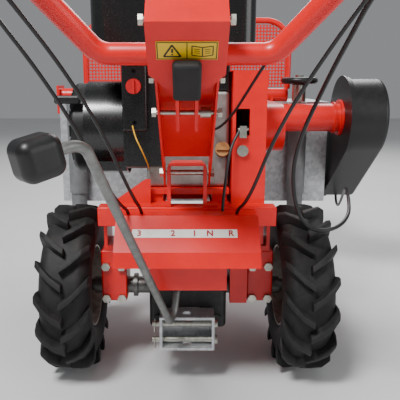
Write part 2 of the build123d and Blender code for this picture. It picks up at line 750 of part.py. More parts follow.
def recoil_rope():
    y = rope_start() - rope_out
    return bar((rope_x, y - 4, rope_z), (rope_x, rope_start() + 30, rope_z), 2.5)


def flywheel():
    """Flywheel and fan blades on the crankshaft's left end."""
    body = disc((-235, -215), crank_y, crank_z, 92) - disc((-240, -200), crank_y, crank_z, crank_d / 2)
    for i in range(12):
        blade = Rot(30 * i, 0, 0) * Pos(-205, 0, 76) * Box(22, 3, 30)
        body += Pos(0, crank_y, crank_z) * blade
    return body


def crankshaft():
    """Shaft through the engine with the two drive pulleys keyed on its right end."""
    shaft = disc((-236, tool_belt_x + 14), crank_y, crank_z, crank_d / 2)
    return shaft + disc((-60, -40), crank_y, crank_z, 60) + disc((0, 20), crank_y, crank_z, 60)


def crank_pulleys():
    wheel = pulley(wheel_belt_x, crank_y, crank_z, crank_pulley_d / 2, crank_d / 2)
    tool = pulley(tool_belt_x, crank_y, crank_z, crank_pulley_d / 2, crank_d / 2)
    return Compound(children=[wheel, tool])


def gearbox_pulley():
    return pulley(wheel_belt_x, input_y, input_z, input_pulley_d / 2, input_shaft_d / 2)


def wheel_belt():
    return belt(wheel_belt_x, crank_y, crank_z, crank_pulley_d / 2, input_y, input_z,
                input_pulley_d / 2)


def engine_shroud():
    """Black tin over the crankcase that the tank sits on, and the control panel on its rear."""
    body = block((case_x[0], case_x[1]), (-20, 205), (case_top, tank_z[0]), 4)
    panel = block((-150, -92), (-44, -19), (596, 760), 6)
    for z in (618, 734):
        panel -= bar((-121, -60, z), (-121, -10, z), 5)
    panel -= bar((-121, -60, switch_z), (-121, -30, switch_z), 9)
    body -= block((case_x[0] + 5, case_x[1] - 5), (-14, 199), (case_top - 1, tank_z[0] - 5))
    skirt = block((case_x[0], -60), (-23, -19), (case_step + 6, case_top + 20))
    return body + panel + skirt - block((-400, 400), (-70, 210), tank_z) - engine_crankcase()


switch_z = 700.0


def switch_knob():
    knob = bar((-121, -30, switch_z), (-121, -58, switch_z), 8.6)
    knob += bar((-121, -46, switch_z), (-121, -62, switch_z), 17)
    return knob + block((-124, -118), (-68, -60), (switch_z - 16, switch_z + 16))


def fuel_tank():
    """Blow-moulded tank shell with a filler neck."""
    body = block(tank_x, tank_y, tank_z, 34)
    t = 4.0
    body -= block((tank_x[0] + t, tank_x[1] - t), (tank_y[0] + t, tank_y[1] - t),
                  (tank_z[0] + t, tank_z[1] - t), 30)
    neck = Pos(tank_cap[0], tank_cap[1], tank_z[1] + 3)
    return body + neck * Cylinder(24, 14) - neck * Cylinder(20, 40)


tank_cap = (60.0, 80.0)


def fuel_cap():
    cap = Pos(tank_cap[0], tank_cap[1], tank_z[1] + 17.4) * Cylinder(30, 14)
    for i in range(10):
        a = 2 * pi * i / 10
        cap += Pos(tank_cap[0] + 30 * cos(a), tank_cap[1] + 30 * sin(a), tank_z[1] + 17.4) * Cylinder(4, 14)
    return cap + Pos(tank_cap[0], tank_cap[1], tank_z[1] + 3) * Cylinder(19.5, 16)


def air_cleaner():
    body = block((-10, 120), (215, 330), (760, 890), 18)
    body -= block((-6, 116), (219, 326), (764, 886), 14)
    return body + block((-5, 70), (205, 240), (700, 764)) - engine_crankcase()


def muffler():
    body = block((-160, -30), (215, 340), (765, 880), 22)
    body -= block((-157, -33), (218, 337), (768, 877), 19)
    body += bar((-160, 280, 800), (-190, 280, 800), 12)
    return body + bar((-95, 260, 770), (-95, 250, 722), 14)


guard_low, guard_high = (104.5, 146.0), (104.5, 182.0)
guard_y, guard_z = (-60.0, 175.0), (180.0, 734.0)
guard_step = 330.0


def belt_guard():
    """Red cover round the wheel drive: narrow beside the axle clamp, wide above it."""
    t = sheet
    outer = block(guard_low, guard_y, guard_z) + block(guard_high, guard_y, (guard_step, guard_z[1]))
    inside = block((guard_low[0] + t, guard_low[1] - t), (guard_y[0] + t, guard_y[1] - t),
                   (guard_z[0] + t, guard_z[1] - t))
    inside += block((guard_high[0] + t, guard_high[1] - t), (guard_y[0] + t, guard_y[1] - t),
                    (guard_step + t, guard_z[1] - t))
    body = outer - inside
    body -= block((90, 200), (-32, 32), (150, axle_z + 34))
    body -= disc((90, 200), crank_y, crank_z, 36) + disc((90, 115), input_y, input_z, 26)
    body -= block((112, 143), (guard_y[0] - 5, guard_y[0] + 10), (590, 650))
    return body - chassis_frame() - guard_bolt()


def guard_bolt():
    """Domed zinc bolt, clevis and pin on the belt guard's rear face."""
    body = bar((128, -66, 555), (128, -50, 555), 5) + bar((128, -60, 555), (128, -68, 555), 13)
    body += block((120, 136), (-70, -60), (585, 590)) + block((120, 136), (-70, -60.0), (588, 612))
    return body + disc((116, 140), -65, 604, 3.5)


def tool_guard():
    """Red capsule cover round the forward belt."""
    x = (185.0, 247.0)
    body = teardrop(x, crank_y, crank_z, 60, cross_y, cross_z, 60)
    body -= teardrop((x[0] + 2.5, x[1] - 2.5), crank_y, crank_z, 57.5, cross_y, cross_z, 57.5)
    return body - disc((x[0] - 5, x[0] + 5), crank_y, crank_z, 36) - disc(
        (x[1] - 5, x[1] + 5), cross_y, cross_z, cross_shaft_d / 2 + 6)


def cross_pulleys():
    inner = pulley(tool_belt_x, cross_y, cross_z, 45, cross_shaft_d / 2)
    return Compound(children=[inner, pulley(side_belt_x, cross_y, cross_z, 70, cross_shaft_d / 2)])


def tool_belt():
    return belt(tool_belt_x, crank_y, crank_z, crank_pulley_d / 2, cross_y, cross_z, 45)


def cross_shaft():
    return disc((tool_belt_x - 14, side_belt_x + 20), cross_y, cross_z, cross_shaft_d / 2)


def cross_tube():
    """Round tube from the forward guard to the side case, flanged at both ends."""
    x = (247.0, case_plate_x)
    body = disc(x, cross_y, cross_z, cross_tube_d / 2)
    body += disc((x[1] - 8, x[1]), cross_y, cross_z, 58) + disc((x[0], x[0] + 6), cross_y, cross_z, 52)
    body += disc((x[1] - 26, x[1] - 20), cross_y, cross_z, 51)
    body -= disc(x, cross_y, cross_z, cross_tube_d / 2 - 4)
    for side in (x[0], x[1] - 20):
        web = disc((side, side + 20), cross_y, cross_z, cross_tube_d / 2 - 3)
        body += web - disc((side, side + 20), cross_y, cross_z, cross_shaft_d / 2 + running_gap)
    body += block((300, 330), (cross_y + 38, hood_y[0]), (cross_z - 12, cross_z + 12))
    return body - disc(x, cross_y, cross_z, cross_shaft_d / 2 + running_gap)


def side_case_plate():
    """Dark steel back plate of the side case."""
    body = teardrop((case_plate_x, case_plate_x + 4), cross_y, cross_z, case_top_r + 5,
                    head_y, head_z, case_low_r + 5)
    body -= disc((490, 520), cross_y, cross_z, cross_shaft_d / 2 + 4)
    return body - disc((490, 520), head_y, head_z, head_shaft_d / 2 + 4)


def side_case_cover():
    """Black moulded teardrop cover with a step round its rim."""
    x = (case_plate_x + 4, case_plate_x + case_depth)
    body = teardrop(x, cross_y, cross_z, case_top_r - 6, head_y, head_z, case_low_r - 4)
    body = fillet(body.edges().group_by(Axis.X)[-1], 12)
    body += teardrop((x[0], x[0] + 14), cross_y, cross_z, case_top_r, head_y, head_z, case_low_r)
    return body - teardrop((x[0] - 1, x[1] - 4), cross_y, cross_z, case_top_r - 11,
                           head_y, head_z, case_low_r - 9)


def side_belt():
    return belt(side_belt_x, cross_y, cross_z, 70, head_y, head_z, 38)


def head_shaft():
    """Cross shaft of the digging head with its driving sprocket."""
    body = disc((hood_x[0] - 14, side_belt_x + 18), head_y, head_z, head_shaft_d / 2)
    return body


def head_pulley():
    return pulley(side_belt_x, head_y, head_z, 38, head_shaft_d / 2)


def chain_sprocket():
    ring = disc((-11, 11), head_y, head_z, sprocket_r)
    return ring - disc((-20, 20), head_y, head_z, head_shaft_d / 2)


def spoil_paddles():
    """Two rows of paddles that throw the soil clear, stepped round the head shaft."""
    rows = []
    for side in (1, -1):
        hub = disc(sorted((side * 90, side * 350)), head_y, head_z, head_shaft_d / 2 + 6)
        for i in range(7):
            blade = Pos(side * (110 + i * 36), head_y, head_z) * Rot(60 * i, 0, 0)
            hub += blade * Rot(0, 0, side * 25) * Pos(0, 0, 54) * Box(34, 5, 72)
        rows.append(hub - disc((-400, 400), head_y, head_z, head_shaft_d / 2))
    return Compound(children=rows)


def head_bearings():
    """Flanged bearing housings on the hood's side walls."""
    rings = []
    for x in ((hood_x[0] - 9, hood_x[0]), (hood_x[1], hood_x[1] + 9)):
        ring = disc(x, head_y, head_z, 46)
        rings.append(ring - disc(x, head_y, head_z, head_shaft_d / 2 + running_gap))
    return Compound(children=rings)


def hood():
    """Galvanised sheet hood: rear wall, top and two side walls, open below and in front."""
    t = 3.0
    (x0, x1), (y0, y1), (z0, z1) = hood_x, hood_y, hood_z
    body = block((x0, x1), (y0, y0 + t), (z0, z1)) + block((x0, x1), (y0, y1), (z1 - t, z1))
    profile = [(y0, z0), (y1 - 60, z0), (y1, z0 + 120), (y1, z1), (y0, z1)]
    body += along_x(profile, (x0, x0 + t)) + along_x(profile, (x1 - t, x1))
    body += block((x0, x1), (y1 - 2, y1), (z1 - 45, z1))
    return body - disc((-600, 600), head_y, head_z, head_shaft_d / 2 + 3)


beam_y, beam_z, cross_beam_d = 650.0, 663.0, 45.0


def cross_beam():
    """Round beam along the hood's rear edge with feet and a plate at its left end."""
    body = disc((hood_x[0], 352), beam_y, beam_z, cross_beam_d / 2)
    body -= disc((-434, 348), beam_y, beam_z, cross_beam_d / 2 - 4)
    for x in (-300, -20, 290):
        body += block((x, x + 10), (beam_y - 30, beam_y + 30), (hood_z[1], beam_z - 8))
    return body + block((hood_x[0] - 8, hood_x[0]), (beam_y - 44, beam_y + 44), (hood_z[1] - 40, beam_z + 32))


guard_tube_d, guard_half, guard_top = 20.0, 352.0, 923.0


def guard_frame():
    """Round tube hoop on the beam."""
    foot, top = beam_z + 6, guard_top - guard_tube_d / 2
    points = [(-guard_half, beam_y, foot), (-guard_half, beam_y, top), (guard_half, beam_y, top),
              (guard_half, beam_y, foot)]
    hoop = bent_bar(points, [80, 80], guard_tube_d / 2)
    return hoop - disc((-500, 500), beam_y, beam_z, cross_beam_d / 2)


def guard_mesh():
    """Perforated sheet inside the hoop; the holes are left to the finished surface."""
    half, low, high = guard_half - 8, beam_z + 24, guard_top - 12
    sheet_body = block((-half, half), (beam_y - 1, beam_y + 1), (low, high))
    sheet_body = fillet(sheet_body.edges().filter_by(Axis.Y).group_by(Axis.Z)[-1], 74)
    return sheet_body - guard_frame()


def leg_sleeve(side):
    """Grey square-bottomed sleeve on the hood's rear wall that guides a support leg."""
    r = leg_d / 2 + moving_gap
    body = bar((leg_x, leg_y, 330), (leg_x, leg_y, 638), r + sleeve_wall)
    body -= bar((leg_x, leg_y, 300), (leg_x, leg_y, 632), r)
    body += block((leg_x - 26, leg_x + 26), (leg_y + r + 1.5, hood_y[0]), (360, 600))
    body -= bar((leg_x, leg_y, 600), (leg_x, leg_y, 660), screw_r + 0.08)
    return body if side > 0 else mirrored(body)


screw_r, leg_top = 9.0, 560.0


def support_leg(side):
    """Leg with a hollow top for the screw and a skid shoe that turns up at both ends."""
    body = bar((leg_x, leg_y, 10), (leg_x, leg_y, leg_top), leg_d / 2)
    body -= bar((leg_x, leg_y, 40), (leg_x, leg_y, leg_top - 80), leg_d / 2 - 5)
    body -= bar((leg_x, leg_y, 380), (leg_x, leg_y, leg_top + 5), screw_r + moving_gap)
    body += block((leg_x - 40, leg_x + 40), (leg_y - 80, leg_y + 90), (0, 10))
    for y, lift in ((leg_y - 80, -1), (leg_y + 90, 1)):
        toe = Pos(leg_x, y, 0) * Rot(lift * 30, 0, 0)
        body += toe * Pos(0, lift * 22, 5) * Box(80, 44, 9.9)
    return body if side > 0 else mirrored(body)


wheel_z = 712.0


def depth_screw():
    """Lifting screw with its collar under the hand wheel."""
    body = bar((leg_x, leg_y, 420), (leg_x, leg_y, wheel_z + 12), screw_r)
    return body + bar((leg_x, leg_y, 642.4), (leg_x, leg_y, wheel_z - 14), 23)


def depth_handwheel():
    """Black hand wheel with six lobes."""
    body = bar((leg_x, leg_y, wheel_z - 14), (leg_x, leg_y, wheel_z + 8), 24)
    ring = Pos(leg_x, leg_y, wheel_z) * Torus(50, 11)
    for i in range(3):
        spoke = Pos(leg_x, leg_y, wheel_z - 2) * Rot(0, 0, 60 * i) * Box(100, 14, 9)
        body += spoke
    return body + ring - bar((leg_x, leg_y, 600), (leg_x, leg_y, 800), screw_r)


def handwheel_nut():
    plane = Plane(origin=(leg_x, leg_y, wheel_z + 8))
    nut = extrude(plane * RegularPolygon(12, 6, major_radius=False), amount=10)
    return nut - bar((leg_x, leg_y, 600), (leg_x, leg_y, 800), screw_r)


boom_plane = Plane(origin=(0, head_y, head_z), x_dir=(1, 0, 0),
                   z_dir=(0, cos(radians(boom_raise)), sin(radians(boom_raise))))


def boom_arm():
    """Two side bars and a centre web from the head shaft to the nose."""
    body = None
    for side in (1, -1):
        x = sorted((side * 16, side * 24))
        plate = block(x, (-26, 26), (0, boom_length)) + disc(x, 0, 0, 34) + disc(x, 0, boom_length, 30)
        body = plate if body is None else body + plate
    body += block((-17, 17), (-22, 22), (90, boom_length - 90))
    body -= disc((-50, 50), 0, 0, head_shaft_d / 2 + moving_gap)
    body -= disc((-50, 50), 0, boom_length, 10.0)
    return boom_plane * body


def nose_pin():
    return boom_plane * (disc((-32, 32), 0, boom_length, 10.0))


def nose_roller():
    ring = disc((-13, 13), 0, boom_length, sprocket_r - 8) - disc((-20, 20), 0, boom_length, 10.08)
    return boom_plane * ring


def digging_chain():
    """Closed chain band round the sprocket and the nose roller, with staggered cutting teeth."""
    r0, r1, x = sprocket_r + moving_gap, sprocket_r - 8 + moving_gap, (-14, 14)
    band = teardrop(x, 0, 0, r0 + chain_thick, boom_length, 0, r1 + chain_thick)
    band -= teardrop((-20, 20), 0, 0, r0, boom_length, 0, r1)
    teeth = 9
    for i in range(teeth):
        along = boom_length * (i + 0.5) / teeth
        reach = r0 + (r1 - r0) * along / boom_length + chain_thick
        for side in (1, -1):
            lean_x = 10 if i % 2 else -10
            tooth = Pos(lean_x, along, side * (reach + tooth_reach / 2 - 1.5))
            band += tooth * Rot(side * 12, 0, 0) * Box(26, 9, tooth_reach)
    turned = Plane(origin=(0, head_y, head_z), x_dir=(1, 0, 0),
                   z_dir=(0, -sin(radians(boom_raise)), cos(radians(boom_raise))))
    return turned * band


# Control cables: routes chosen by hand, from the hand levers to what they work
cable_d, loop_cable_d, throttle_cable_d, wire_d = 7.0, 9.0, 6.0, 3.5
clutch_route = [
    (-311, -641.8, 936.1), (-307, -601, 928), (-296, -540, 888), (-262, -472, 830), (-222, -405, 760),
    (-186, -340, 685), (-152, -282, 600), (-128, -230, 520), (-110, -182, 462), (-102, -153, 441),
    (-100, -142, 425)]
reverse_route = [
    (-328.8, -639.8, 935.7), (-325, -600, 927), (-318, -535, 880), (-290, -462, 812), (-250, -395, 735),
    (-212, -332, 650), (-180, -275, 560), (-152, -228, 485), (-136, -185, 449), (-131, -155, 438),
    (-130, -142, 425)]
brake_route = [
    (311, -641.8, 936.1), (307, -601, 928), (293, -537, 886), (260, -465, 824), (222, -400, 748),
    (186, -335, 668), (158, -275, 585), (138, -225, 505), (122, -182, 455), (112, -153, 440),
    (110, -142, 425)]
loop_route = [
    (328.8, -639.8, 935.7), (324.5, -600, 928), (312, -540, 902), (298, -475, 868), (286, -417, 836),
    (280, -352, 790), (269, -285, 735), (259, -212, 672), (245, -160, 609), (230, -146, 540),
    (233, -143, 467), (252, -140, 412), (280, -146, 388), (318, -140, 386), (356, -106, 392),
    (388, -45, 402), (410, 35, 412), (432, 125, 416), (455, 215, 410), (478, 305, 395),
    (500, 395, 370), (520, 475, 338), (536, 550, 303), (548, 615, 273), (557, 668, 260),
    (560, 700, 272), (560, 705, 291.9)]
throttle_route = [
    (317.5, -607.5, 984.5), (313, -570, 976), (294, -510, 946), (262, -440, 908), (226, -383, 870),
    (186, -320, 808), (150, -255, 748), (122, -190, 690), (97, -135, 640), (76, -85, 612),
    (63, -48, 602), (60, -20.2, 600)]
belt_route = [
    (119.5, -66, 600), (104, -78, 578), (93, -92, 538), (87, -104, 492), (82, -114, 455),
    (80, -118, 425)]
wire_route = [
    (-126, -44.5, 610), (-120, -66, 590), (-104, -78, 560), (-92, -64, 528), (-90, -40, 512),
    (-92, -20.2, 506)]


def corner_radii(route):
    """Largest arc at each corner that two neighbouring runs leave room for."""
    points = [Vector(*p) for p in route]
    radii = []
    for before, here, after in zip(points, points[1:], points[2:]):
        turn = radians((here - before).get_angle(after - here))
        run = min((here - before).length, (after - here).length)
        radii.append(min(0.45 * run / tan(turn / 2), 4000.0))
    return radii


def cable(name, route, diameter):
    radii = corner_radii(route)
    tube = bent_bar(route, radii, diameter / 2)
    print(name, "radii", [round(r) for r in radii], "volume", round(tube.volume))
    return tube


def group(*shapes):
    """Separate solids that share one node."""
    solids = []
    for shape in shapes:
        solids += shape.solids()
    return Compound(solids)


parts = {
    "tyres": group(tyre(-1), tyre(1)),
    "rims": group(rim(-1), rim(1)),
    "axle_shaft": group(axle_shaft(), axle_gear()),
    "wheel_bolts": wheel_bolts(),
    "input_shaft": group(input_shaft(), gearbox_pulley()),
    "gearbox_housing": gearbox_housing(),
    "axle_tubes": group(axle_tube(1), axle_tube(-1), axle_bushes(), collar_rings()),
    "axle_clamps": group(axle_clamp(1), axle_clamp(-1)),
    "frame_bolts": group(all_clamp_bolts(), guard_bolt()),
    "chassis_frame": group(chassis_frame(), front_rails()),
    "rear_hitch_box": rear_hitch_box(),
    "hitch_pins": group(hitch_pins(), r_clips()),
    "shift_gate_cover": shift_gate_cover(),
    "gate_scale_strip": gate_scale_strip(),
    "shift_lever": shift_lever(),
    "shift_knob": shift_knob(),
    "column_bracket": column_bracket(),
    "column_channel": column_channel(),
    "column_bolts": group(column_bolts(), pivot_bolt(), lock_spring()),
    "column_head": column_head(),
    "label_plate": label_plate(),
    "handlebar_tube": handlebar_tube(),
    "handlebar_grips": group(grip(1), grip(-1)),
    "lever_clamps": group(lever_clamps(), throttle_base(), cable_ties()),
    "clutch_lever": hand_lever(-1),
    "brake_lever": hand_lever(1),
    "throttle_lever": throttle_lever(),
    "lock_lever": lock_lever(),
    "lock_sleeve": lock_sleeve(),
    "engine_crankcase": engine_crankcase(),
    "oil_cap": oil_cap(),
    "fan_housing": fan_housing(),
    "recoil_cover": recoil_cover(),
    "recoil_handle": group(recoil_handle(), recoil_rope()),
    "crankshaft": group(crankshaft(), flywheel(), crank_pulleys()),
    "drive_belts": group(wheel_belt(), tool_belt(), side_belt()),
    "engine_shroud": engine_shroud(),
    "switch_knob": switch_knob(),
    "fuel_tank": fuel_tank(),
    "fuel_cap": fuel_cap(),
    "air_cleaner": air_cleaner(),
    "muffler": muffler(),
    "belt_guard": belt_guard(),
    "tool_guard": tool_guard(),
    "cross_shaft": group(cross_shaft(), cross_pulleys()),
    "cross_tube": cross_tube(),
    "side_case": group(side_case_cover(), side_case_plate()),
    "head_shaft": group(head_shaft(), head_pulley(), chain_sprocket(), spoil_paddles()),
    "hood": group(hood(), head_bearings()),
    "guard_frame": group(guard_frame(), cross_beam()),
    "guard_mesh": guard_mesh(),
    "leg_sleeves": group(leg_sleeve(1), leg_sleeve(-1), support_leg(-1)),
    "depth_leg": support_leg(1),
    "depth_screw": group(depth_screw(), handwheel_nut()),
    "depth_handwheel": depth_handwheel(),
    "boom_arm": group(boom_arm(), nose_pin()),
    "nose_roller": nose_roller(),
    "digging_chain": digging_chain(),
    "control_cables": group(
        cable("clutch", clutch_route, cable_d) - shift_gate_cover(),
        cable("reverse", reverse_route, cable_d) - shift_gate_cover(),
        cable("brake", brake_route, cable_d) - shift_gate_cover(),
        cable("throttle", throttle_route, throttle_cable_d) - engine_crankcase(),
        cable("belt", belt_route, cable_d) - shift_gate_cover() - guard_bolt(),
        cable("stop wire", wire_route, wire_d) - engine_crankcase() - engine_shroud()),
    "loop_cable": cable("loop", loop_route, loop_cable_d) - side_case_cover() - side_case_plate(),
}

# The origin is the middle of the machine's footprint, on the ground
boxes = [shape.bounding_box() for shape in parts.values()]
low = [min(tuple(box.min)[i] for box in boxes) for i in range(3)]
high = [max(tuple(box.max)[i] for box in boxes) for i in range(3)]
footprint = Vector(-(low[0] + high[0]) / 2, -(low[1] + high[1]) / 2, -low[2])
print("moved by", footprint, "nodes", len(parts))
os.makedirs("parts", exist_ok=True)
for name, shape in parts.items():
    export_step(Pos(*footprint) * Compound(shape.solids()), f"parts/{name}.step")
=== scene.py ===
from math import cos, hypot, pi, radians, sin

import bmesh
import bpy
from mathutils import Matrix, Vector


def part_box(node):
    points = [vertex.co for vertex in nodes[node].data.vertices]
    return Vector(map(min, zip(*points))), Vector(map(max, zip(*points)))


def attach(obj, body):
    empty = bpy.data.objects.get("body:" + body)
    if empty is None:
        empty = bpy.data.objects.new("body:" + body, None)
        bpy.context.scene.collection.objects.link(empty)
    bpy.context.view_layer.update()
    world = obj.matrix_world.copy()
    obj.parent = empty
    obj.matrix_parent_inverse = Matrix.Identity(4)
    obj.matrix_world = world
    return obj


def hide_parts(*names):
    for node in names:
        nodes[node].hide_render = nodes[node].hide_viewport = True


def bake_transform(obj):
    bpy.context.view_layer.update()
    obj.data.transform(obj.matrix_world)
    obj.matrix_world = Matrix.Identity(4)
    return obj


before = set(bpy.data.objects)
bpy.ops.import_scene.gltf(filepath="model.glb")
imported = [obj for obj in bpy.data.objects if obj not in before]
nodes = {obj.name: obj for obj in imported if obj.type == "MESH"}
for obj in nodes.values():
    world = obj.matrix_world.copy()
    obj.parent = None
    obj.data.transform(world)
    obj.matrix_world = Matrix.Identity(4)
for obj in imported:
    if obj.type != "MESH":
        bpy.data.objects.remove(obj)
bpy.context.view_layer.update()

# Where the machine stands: the middle of the wheel axle at ground level, from the tyres' own box.
# Places below are in millimetres from there, +X right, +Y forward, +Z up.
tyre_low, tyre_high = (Vector(corner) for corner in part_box("tyres"))
axle_middle = (tyre_low + tyre_high) / 2
ground_middle = Vector((axle_middle.x, axle_middle.y, 0))


def place(x, y, z):
    """Point of the shared frame, in metres, from millimetres on the machine."""
    return ground_middle + Vector((x, y, z)) / 1000


# Camera: the operator's eye, behind the handlebar and looking slightly down over the wheels.
camera_data = bpy.data.cameras.new("operator_view")
camera_data.sensor_width, camera_data.lens, camera_data.shift_x = 36, 49.5, 0.0325
eye, down_tilt = (0, -1324, 714), 12.31
camera = bpy.data.objects.new("operator_view", camera_data)
camera.location = place(*eye)
camera.rotation_euler = (radians(90 - down_tilt), 0, 0)
bpy.context.collection.objects.link(camera)
bpy.context.scene.camera = camera


def linear(code):
    """Linear colour of an sRGB hex value."""
    channels = [int(code[i:i + 2], 16) / 255 for i in (1, 3, 5)]
    return tuple(c / 12.92 if c <= 0.04045 else ((c + 0.055) / 1.055) ** 2.4 for c in channels) + (1,)


def add(tree, kind, settings=None, **sockets):
    """Adds a node with its settings; a socket takes a value or another node's output."""
    node = tree.nodes.new(kind)
    for key, value in (settings or {}).items():
        setattr(node, key, value)
    for key, value in sockets.items():
        name = int(key[1:]) if key[0] == "_" else key.replace("_", " ")
        if isinstance(value, bpy.types.NodeSocket):
            tree.links.new(value, node.inputs[name])
        else:
            node.inputs[name].default_value = value
    return node


def finish(name, colour, second, patch_mm, metal, rough, bump_mm, grain_mm, coat=0.0, dust=None,
           dust_share=0.0, spangle=False):
    """A surface: two close colours in patches, a grain in the bump and roughness, dust on top faces."""
    material = bpy.data.materials.new(name)
    material.use_nodes = True
    tree = material.node_tree
    shader = tree.nodes["Principled BSDF"]
    where = add(tree, "ShaderNodeTexCoord").outputs["Object"]
    patches = add(tree, "ShaderNodeTexNoise", Vector=where, Scale=1000 / patch_mm, Detail=5.0,
                  Roughness=0.6).outputs["Fac"]
    if spangle:
        patches = add(tree, "ShaderNodeTexVoronoi", Vector=where, Scale=1000 / patch_mm).outputs["Color"]
        patches = add(tree, "ShaderNodeSeparateColor", Color=patches).outputs["Red"]
    ramp = add(tree, "ShaderNodeMapRange", Value=patches, From_Min=0.3, From_Max=0.7).outputs["Result"]
    mixed = add(tree, "ShaderNodeMix", {"data_type": "RGBA"}, _0=ramp, _6=linear(colour),
                _7=linear(second)).outputs[2]
    if dust:
        normal = add(tree, "ShaderNodeNewGeometry").outputs["Normal"]
        up = add(tree, "ShaderNodeSeparateXYZ", Vector=normal).outputs["Z"]
        up = add(tree, "ShaderNodeMapRange", Value=up, From_Min=-0.4, From_Max=1.0).outputs["Result"]
        specks = add(tree, "ShaderNodeTexNoise", Vector=where, Scale=55.0, Detail=8.0,
                     Roughness=0.7).outputs["Fac"]
        specks = add(tree, "ShaderNodeMapRange", Value=specks, From_Min=0.42, From_Max=0.75,
                     To_Max=dust_share).outputs["Result"]
        share = add(tree, "ShaderNodeMath", {"operation": "MULTIPLY"}, _0=up, _1=specks).outputs[0]
        mixed = add(tree, "ShaderNodeMix", {"data_type": "RGBA"}, _0=share, _6=mixed,
                    _7=linear(dust)).outputs[2]
    tree.links.new(mixed, shader.inputs["Base Color"])
    grain = add(tree, "ShaderNodeTexNoise", Vector=where, Scale=1000 / grain_mm, Detail=4.0).outputs["Fac"]
    spread = add(tree, "ShaderNodeMapRange", Value=grain, To_Min=max(rough - 0.09, 0.03),
                 To_Max=min(rough + 0.09, 1.0)).outputs["Result"]
    tree.links.new(spread, shader.inputs["Roughness"])
    bump = add(tree, "ShaderNodeBump", Height=grain, Strength=0.6, Distance=bump_mm / 1000).outputs[0]
    tree.links.new(bump, shader.inputs["Normal"])
    shader.inputs["Metallic"].default_value = metal
    shader.inputs["Coat Weight"].default_value = coat
    shader.inputs["Coat Roughness"].default_value = 0.12
    return material


def paint(material, *names):
    """Gives CAD nodes a finish in place of their packed one."""
    for name in names:
        mesh = nodes[name].data
        mesh.materials.clear()
        mesh.materials.append(material)


def piece(name, mesh, body, material=None):
    """Links a finished mesh with its finish, which rides on its body when one is given."""
    made = bpy.data.objects.new(name, mesh)
    bpy.context.collection.objects.link(made)
    if material:
        mesh.materials.clear()
        mesh.materials.append(material)
    if body:
        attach(made, body)
    return made


# Painted steel. Frame, column, handlebar, covers and gear gate are welded or folded steel with a
# signal-red powder coat: a smooth satin skin with a faint orange-peel and soft highlights.
powder_red = finish("red_powder_coat", "#e30806", "#d30606", 60, 0.0, 0.38, 0.02, 2.5, coat=0.12,
                    dust="#9c5a4c", dust_share=0.06)
paint(powder_red, "axle_clamps", "chassis_frame", "shift_gate_cover", "column_bracket", "column_channel",
      "column_head", "handlebar_tube", "belt_guard", "tool_guard", "cross_tube", "guard_frame",
      "boom_arm", "lock_lever")

# Black engine tins. Pressed steel in baked enamel, a deep black with a gloss that picks up the sky.
black_enamel = finish("black_enamel", "#0c0d0e", "#070808", 80, 0.0, 0.28, 0.015, 3, coat=0.3,
                      dust="#6b6660", dust_share=0.1)
paint(black_enamel, "fuel_tank", "fan_housing", "engine_shroud", "lever_clamps", "clutch_lever",
      "brake_lever", "muffler")

# Moulded black nylon and ABS: recoil cover, caps, knobs and side case, with a fine satin texture.
moulded_black = finish("moulded_nylon", "#0f1011", "#090a0a", 40, 0.0, 0.42, 0.05, 1.2,
                       dust="#77716a", dust_share=0.1)
paint(moulded_black, "recoil_cover", "recoil_handle", "fuel_cap", "air_cleaner", "side_case",
      "shift_knob", "depth_handwheel", "throttle_lever")

# Oil filler cap: tan moulded nylon, the one warm-coloured piece on the crankcase.
paint(finish("tan_nylon", "#a8753a", "#8f6230", 15, 0.0, 0.5, 0.04, 1.5), "oil_cap")

# Engine switch: a red moulded rotary knob.
paint(finish("red_nylon", "#c2161b", "#a81015", 12, 0.0, 0.4, 0.03, 1.5), "switch_knob")

# Bare die casting: crankcase and finned cylinder, greyish with a sandy skin.
paint(finish("die_cast_aluminium", "#a9a9a6", "#86867f", 30, 0.85, 0.5, 0.12, 2.2,
             dust="#5f564a", dust_share=0.5), "engine_crankcase")

# Gearbox: sand-cast iron painted black, so the coarse skin shows through the paint.
paint(finish("painted_cast_iron", "#1a1a1b", "#0f1011", 35, 0.0, 0.55, 0.3, 3.5,
             dust="#6f675c", dust_share=0.55), "gearbox_housing")

# Galvanised sheet: hood and hitch socket, with grey zinc crystals about 12 mm across.
paint(finish("galvanised_sheet", "#c3c5c7", "#adb0b3", 12, 0.55, 0.4, 0.03, 4, spangle=True,
             dust="#8d867e", dust_share=0.2), "hood", "rear_hitch_box")

# Zinc-plated fasteners: bolts, nuts, pins and the lifting screw.
paint(finish("zinc_plate", "#c9c8be", "#a9a79a", 9, 1.0, 0.34, 0.02, 1.0,
             dust="#6d6454", dust_share=0.4), "frame_bolts", "column_bolts", "hitch_pins", "wheel_bolts",
      "depth_screw")

# Turned and drawn steel: axle, shafts, sprocket, nose roller and chain, a dull dark grey with oil.
oiled_steel = finish("oiled_steel", "#7c7c7a", "#5b5b59", 14, 1.0, 0.42, 0.03, 1.2,
                     dust="#4b443a", dust_share=0.5)
paint(oiled_steel, "axle_shaft", "axle_tubes", "input_shaft", "head_shaft", "cross_shaft", "crankshaft",
      "nose_roller", "digging_chain")

# Gear rod: bent round bar in dull zinc, greyer than the fasteners.
paint(finish("dull_plated_rod", "#8b8d8b", "#717370", 20, 0.75, 0.46, 0.03, 2.0,
             dust="#5d564c", dust_share=0.25), "shift_lever")

# Support legs: grey chassis paint, scuffed.
paint(finish("grey_chassis_paint", "#77797b", "#66686a", 25, 0.1, 0.5, 0.05, 2.5,
             dust="#6d6456", dust_share=0.5), "leg_sleeves", "depth_leg")

# Rims: pressed steel in silver lacquer, dulled by dried soil.
paint(finish("silver_lacquer", "#b4b2ac", "#98948b", 18, 0.6, 0.42, 0.04, 2.0,
             dust="#5d5245", dust_share=0.8), "rims")

